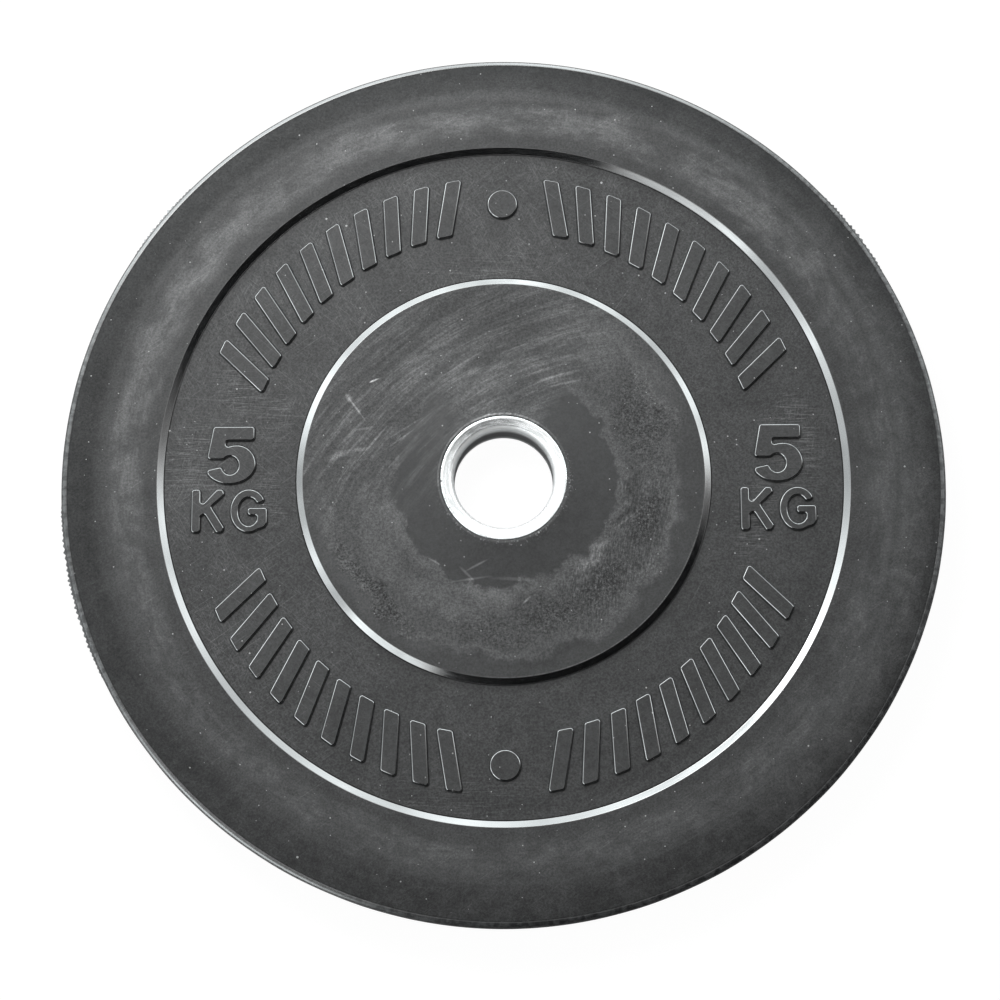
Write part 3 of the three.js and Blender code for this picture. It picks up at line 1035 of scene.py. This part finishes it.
def web_rubber():
    """The web and its marks: scuffed in places, with painted shadow beside the rim wall at the top, beside
    the hub wall at the bottom and in a band on the lower right, and painted shade in the creases at the feet
    of the walls and on the sides of the marks.
    """
    graph = PlateGraph("web_rubber")
    rise = graph.math("SUBTRACT", graph.level, web_half / MM)
    on_mark = graph.steps(rise, *mark_top_mm)
    on_side = graph.band(rise, *mark_side_mm)
    scuffed = graph.product(graph.patches(graph.pushed(30), web_scuffs), graph.gain(on_mark, -0.8))
    dashes = graph.most(graph.scratches(web_dashes), graph.product(graph.scratches(web_steep_dashes), 0.6))
    cloud = graph.noise(graph.place, 0.035, 5.0, 0.6, 0.6)
    brushed = graph.product(graph.scratches(web_brushed), graph.steps(cloud, 0.36, 0.6, 0.1, 1.0),
                            graph.sector(140, 0.3, 0.9, 0.12, 1.0), graph.gain(on_mark, -0.6))
    # Painted shade in the creases at the feet of the rim and hub walls
    foot_shade = graph.most(*[graph.ring_mark(*ring) for ring in wall_foot_shade_rings])
    zones = (
        # Painted shadow beside the walls
        (graph.most(*[graph.zone(graph.radius, *shade) for shade in web_painted_shadows]), -0.5),
        # Painted shade on the sides of the marks
        (on_side, -0.35),
        (foot_shade, -0.75),
        (graph.product(graph.scratches(web_dark_lines), scuffed), -0.4))
    hairs = graph.product(graph.scratches(web_hairs), graph.sector(150, 0.35, 0.85, 0.35, 0.8))
    lines = graph.total(hairs, graph.strokes(web_strokes))
    lines = graph.gain(graph.product(dashes, scuffed), 1.7, lines)
    lines = graph.gain(brushed, 0.7, lines)
    dull = graph.most(graph.product(foot_shade, 0.8), graph.product(on_side, 0.5))
    tones = (graph.steps(cloud, 0.35, 0.65, 1.0, 1.30),)
    return moulded(graph, tones, zones, lines, graph.gain(on_mark, -0.25, 0.6), dull)


def rim_rubber():
    """The rim: a clouded band, bloomed and with painted sheen that is strongest towards azimuth 108, runs
    round it. Painted shading darkens it towards azimuth 110 and lightens it on the far side, its bevel most.
    """
    graph = PlateGraph("rim_rubber")
    ragged = graph.vector("LENGTH", graph.pushed(16))
    clouds = graph.around(6.0, 0.06, 6.0, 0.68, 0.5)
    streaks = graph.around(12.0, 0.4, 5.0, 0.66)
    cloud = graph.noise(graph.place, 0.045, 6.0, 0.65, 0.8)
    # The bloomed band, with painted sheen strongest towards azimuth 108
    bloom_and_sheen = graph.product(graph.zone(ragged, *rim_bloom_and_sheen), graph.steps(clouds, 0.38, 0.6, 0.4, 1.4),
                          graph.steps(streaks, 0.32, 0.64, 0.82, 1.12))
    bevel = graph.steps(graph.radius, *rim_bevel_mm)
    tones = (
        graph.steps(cloud, 0.38, 0.6, 0.84, 1.14),
        graph.steps(streaks, 0.3, 0.66, 0.92, 1.1),
        # Painted shading: darker towards azimuth 110, lighter on the far side
        graph.gain(graph.facing(110), -0.2, 1.16))
    zones = (
        # Painted shading on the bevel: darker towards azimuth 110, lighter on the far side
        (bevel, graph.gain(graph.facing(110), -0.62, 0.17)),
        (graph.zone(graph.radius, *rim_far_bloom), 0.8),
        # Painted shade along the groove
        (graph.ring_mark(*groove_shade_ring), -0.3),
        (bloom_and_sheen, 1.1))
    hairs = graph.product(graph.scratches(rim_hairs), 0.4)
    return moulded(graph, tones, zones, hairs, 0.5, graph.product(bevel, 0.45))


def gloss_rubber():
    """The steep faces, which the mould leaves polished."""
    graph = PlateGraph("gloss_rubber")
    streaks = graph.around(30.0, 0.1, 3.0, 0.6)
    films = graph.around(7.0, 0.05, 4.0, 0.6)
    relief = graph.gain(streaks, 1.5, graph.noise(graph.place, 0.9, 3.0, 0.7))
    colour = graph.mix(graph.steps(streaks, 0.3, 0.7), (0.006, 0.0062, 0.0065, 1), (0.014, 0.0144, 0.015, 1))
    return graph.finish(
        Base_Color=colour, Roughness=graph.steps(streaks, 0.3, 0.7, 0.25, 0.4),
        Normal=graph.bump(relief, 0.02, 0.5), IOR=1.5, Specular_IOR_Level=0.2,
        Coat_Weight=1.0, Coat_IOR=2.2, Coat_Roughness=graph.steps(films, 0.35, 0.65, 0.07, 0.17),
        Coat_Normal=graph.bump(relief, 0.01, 0.5))


def tread_rubber():
    """The tread and its edge: half polished, dulled in places and scuffed across."""
    graph = PlateGraph("tread_rubber")
    scuffs = graph.around(90.0, 0.1, 3.0, 0.6)
    films = graph.around(9.0, 0.05, 4.0, 0.6)
    relief = graph.total(scuffs, graph.noise(graph.place, 1.1, 3.0, 0.7))
    colour = graph.mix(graph.steps(scuffs, 0.35, 0.65), (0.012, 0.0124, 0.013, 1), (0.042, 0.043, 0.044, 1))
    clean = graph.most(graph.sector(105, 0.72, 0.95), graph.sector(232, 0.95, 0.99, 0, 0.7))
    coat = graph.blend(clean, graph.steps(scuffs, 0.42, 0.58, 0.2, 0.45), 1.0)
    coat_rough = graph.blend(clean, graph.steps(films, 0.35, 0.65, 0.3, 0.5), 0.16)
    return graph.finish(
        Base_Color=colour, Roughness=graph.steps(scuffs, 0.3, 0.7, 0.38, 0.6),
        Normal=graph.bump(relief, 0.05, 0.7), IOR=1.5, Specular_IOR_Level=0.25,
        Coat_Weight=graph.product(coat, graph.sector(296, 0.97, 0.84, 0.2, 1.0)), Coat_IOR=2.0,
        Coat_Roughness=coat_rough, Coat_Normal=graph.bump(relief, 0.02, 0.6))


def zinc_plate():
    """Zinc-plated steel. A painted highlight runs round the throat where it turns into the bore, and painted
    shade darkens the bore deeper in.
    """
    graph = PlateGraph("zinc_plate")
    rings = graph.around(1.2, 3.0, 3.0, 0.6)
    cloud = graph.around(4.0, 0.6, 4.0, 0.6)
    depth = graph.math("SUBTRACT", middle / MM, graph.level)
    throat = graph.steps(graph.radius, *[bore_radius / MM + reach for reach in throat_mm])
    torn = graph.product(graph.steps(graph.around(30.0, 0.3, 2.0, 0.5), 0.54, 0.6),
                         graph.ring_mark(*torn_ring), graph.sector(192, 0.88, 0.97))
    colour = graph.mix(graph.steps(cloud, 0.38, 0.6), (0.70, 0.73, 0.73, 1), (0.88, 0.90, 0.91, 1))
    # Painted highlight round the throat
    bright = graph.product(throat, graph.steps(depth, *throat_highlight_mm))
    for share, shade in ((graph.steps(rings, 0.6, 0.75, 0.0, 0.2), (0.5, 0.52, 0.53, 1)),
                         (graph.product(graph.specks(3.2, 0.35, 5.0), 0.5), (0.25, 0.25, 0.25, 1)),
                         # Painted shade deeper in the bore
                         (graph.steps(depth, *bore_shade_mm), (0.075, 0.075, 0.077, 1)),
                         (torn, (0.08, 0.08, 0.082, 1)),
                         (bright, (0.95, 0.96, 0.96, 1))):
        colour = graph.mix(share, colour, shade)
    rough = graph.blend(throat, graph.steps(cloud, 0.3, 0.7, 0.16, 0.28), 0.5)
    return graph.finish(Base_Color=colour, Roughness=rough, Metallic=graph.blend(throat, 0.95, 0.15),
                        Normal=graph.bump(graph.total(rings, cloud), 0.01, 0.5))


def sheet_steel():
    """Hot rolled sheet with its scale."""
    graph = PlateGraph("sheet_steel")
    scale = graph.noise(graph.place, 0.12, 5.0, 0.6, 0.8)
    colour = graph.mix(graph.steps(scale, 0.4, 0.6), (0.16, 0.17, 0.18, 1), (0.30, 0.30, 0.30, 1))
    return graph.finish(Base_Color=colour, Roughness=graph.steps(scale, 0.4, 0.6, 0.4, 0.6),
                        Metallic=1.0, Normal=graph.bump(scale, 0.05))


def weld_metal():
    """Weld bead with the ripples that its passes leave."""
    graph = PlateGraph("weld_metal")
    ripple = graph.around(60.0, 0.3, 2.0, 0.5)
    colour = graph.mix(ripple, (0.12, 0.12, 0.13, 1), (0.34, 0.32, 0.30, 1))
    return graph.finish(Base_Color=colour, Roughness=graph.steps(ripple, 0.3, 0.7, 0.35, 0.55),
                        Metallic=1.0, Normal=graph.bump(ripple, 0.2))


# Studio: directions and places are an azimuth and an elevation, and reaches are angles from them

floor_size = 8.0
floor_drop = 0.0001
floor_glow = 0.955
floor_pale = 0.10
floor_grey = 0.8
world_soft = 0.40
world_level = 0.5
world_rise = 0.9
world_bright_direction = (115, 50)
world_dark_azimuth = 301
world_dark_reach = (66, 50)
world_dark_rise = (46, 78)
world_dark_most = 0.26
band_azimuth = 128.5
band_reach = (123, 107)
band_foot = (2, 7)
band_top = (40, 47)
band_levels = (3.9, 6.9)
band_tint = (0.93, 0.99, 1.0, 1)
band_dips = ((172, 17, 0.5), (207, 8, 0.4), (52, 20, 0.3), (116, 12, 0.2))
key_distance = 0.8
key_direction = (120, 48)
key_size = 0.45
key_radiance = 6.3


def key_light():
    """A square softbox that faces the plate's centre."""
    light = bpy.data.lights.new("key", "AREA")
    light.shape = "SQUARE"
    light.size = key_size
    light.energy = key_radiance * key_size ** 2 * math.pi
    place = toward(*key_direction)
    holder = placed("key", light)
    holder.location = place * key_distance
    holder.rotation_euler = place.to_track_quat("Z", "Y").to_euler()
    holder.visible_camera = False


def world():
    """White to the camera. In gloss it is a room with a low band of light and one dark side."""
    graph = Graph(bpy.data.worlds.new("studio"))
    direction = graph.node("ShaderNodeTexCoord").outputs["Generated"]
    height = graph.node("ShaderNodeSeparateXYZ", {0: direction}).outputs[2]
    flat = graph.vector("NORMALIZE", graph.vector("MULTIPLY", direction, (1, 1, 0)))

    def beside(azimuth, far, near=0):
        """1 near an azimuth and 0 far from it, at angles from it."""
        along = graph.vector("DOT_PRODUCT", flat, toward(azimuth))
        return graph.steps(along, math.cos(math.radians(far)), math.cos(math.radians(near)))

    def sines(angles):
        return [math.sin(math.radians(angle)) for angle in angles]

    bright = graph.vector("DOT_PRODUCT", direction, toward(*world_bright_direction))
    bright = graph.gain(graph.most(bright, 0.0), world_rise, world_level)
    dark = graph.steps(height, *sines(world_dark_rise), 0.0, world_dark_most)
    room = graph.blend(beside(world_dark_azimuth, *world_dark_reach), bright, dark)
    band = graph.band(height, sines(band_foot), sines(band_top))
    band = graph.product(beside(band_azimuth, *band_reach), band)
    level = graph.steps(graph.noise(flat, 3.0, 3.0, 0.6), 0.35, 0.65, *band_levels)
    for azimuth, reach, depth in band_dips:
        level = graph.product(level, graph.gain(beside(azimuth, reach), -depth))
    room = graph.blend(band, room, level)
    strength = graph.blend(graph.rays("Glossy"), world_soft, room)
    strength = graph.blend(graph.rays("Camera", "Transmission"), strength, 1.0)
    background = graph.tree.nodes["Background"]
    tinted = graph.product(band, graph.rays("Glossy"))
    graph.tree.links.new(graph.mix(tinted, (1, 1, 1, 1), band_tint), background.inputs["Color"])
    graph.tree.links.new(strength, background.inputs["Strength"])
    graph.owner.cycles.sampling_method = "NONE"
    bpy.context.scene.world = graph.owner


def floor():
    """A pale floor that looks white and still takes the plate's shadow."""
    half = floor_size / 2
    mesh = bpy.data.meshes.new("floor")
    corners = [(-half, -half, 0), (half, -half, 0), (half, half, 0), (-half, half, 0)]
    mesh.from_pydata(corners, [], [(0, 1, 2, 3)])
    slab = placed("floor", mesh)
    slab.location.z = cad_low.z - floor_drop
    graph = Graph(bpy.data.materials.new("floor"))
    graph.tree.nodes.remove(graph.shader)
    plain, pale = [graph.node("ShaderNodeBsdfDiffuse", {"Color": (level, level, level, 1)}).outputs[0]
                   for level in (floor_grey, floor_pale)]
    glow = graph.node("ShaderNodeEmission", {"Strength": floor_glow}).outputs[0]
    white = graph.node("ShaderNodeAddShader", {0: pale, 1: glow}).outputs[0]
    seen = graph.rays("Camera", "Transmission")
    both = graph.node("ShaderNodeMixShader", {0: seen, 1: plain, 2: white}).outputs[0]
    graph.tree.links.new(both, graph.tree.nodes["Material Output"].inputs[0])
    mesh.materials.append(graph.owner)


def camera():
    data = bpy.data.cameras.new("camera")
    data.lens = camera_lens
    data.sensor_width = sensor_width
    holder = placed("camera", data)
    holder.location = camera_place
    holder.rotation_euler = [math.radians(angle) for angle in camera_turn]
    bpy.context.scene.camera = holder


camera()
rubber = [hub_rubber(), web_rubber(), rim_rubber(), gloss_rubber(), tread_rubber()]
make_piece("rubber_disc", rubber_shell(), rubber, "rubber_body")
make_piece("parting_flash", flash_shell(), rubber)
make_piece("bush", bush_shell(), [zinc_plate()], "hub_sleeve")
weld = weld_metal()
for name, material in (("anchor_flange", sheet_steel()), ("weld_bead_front", weld), ("weld_bead_back", weld)):
    frame["nodes"][name].data.materials.clear()
    frame["nodes"][name].data.materials.append(material)
key_light()
world()
floor()
bpy.context.scene.view_settings.view_transform = "Standard"
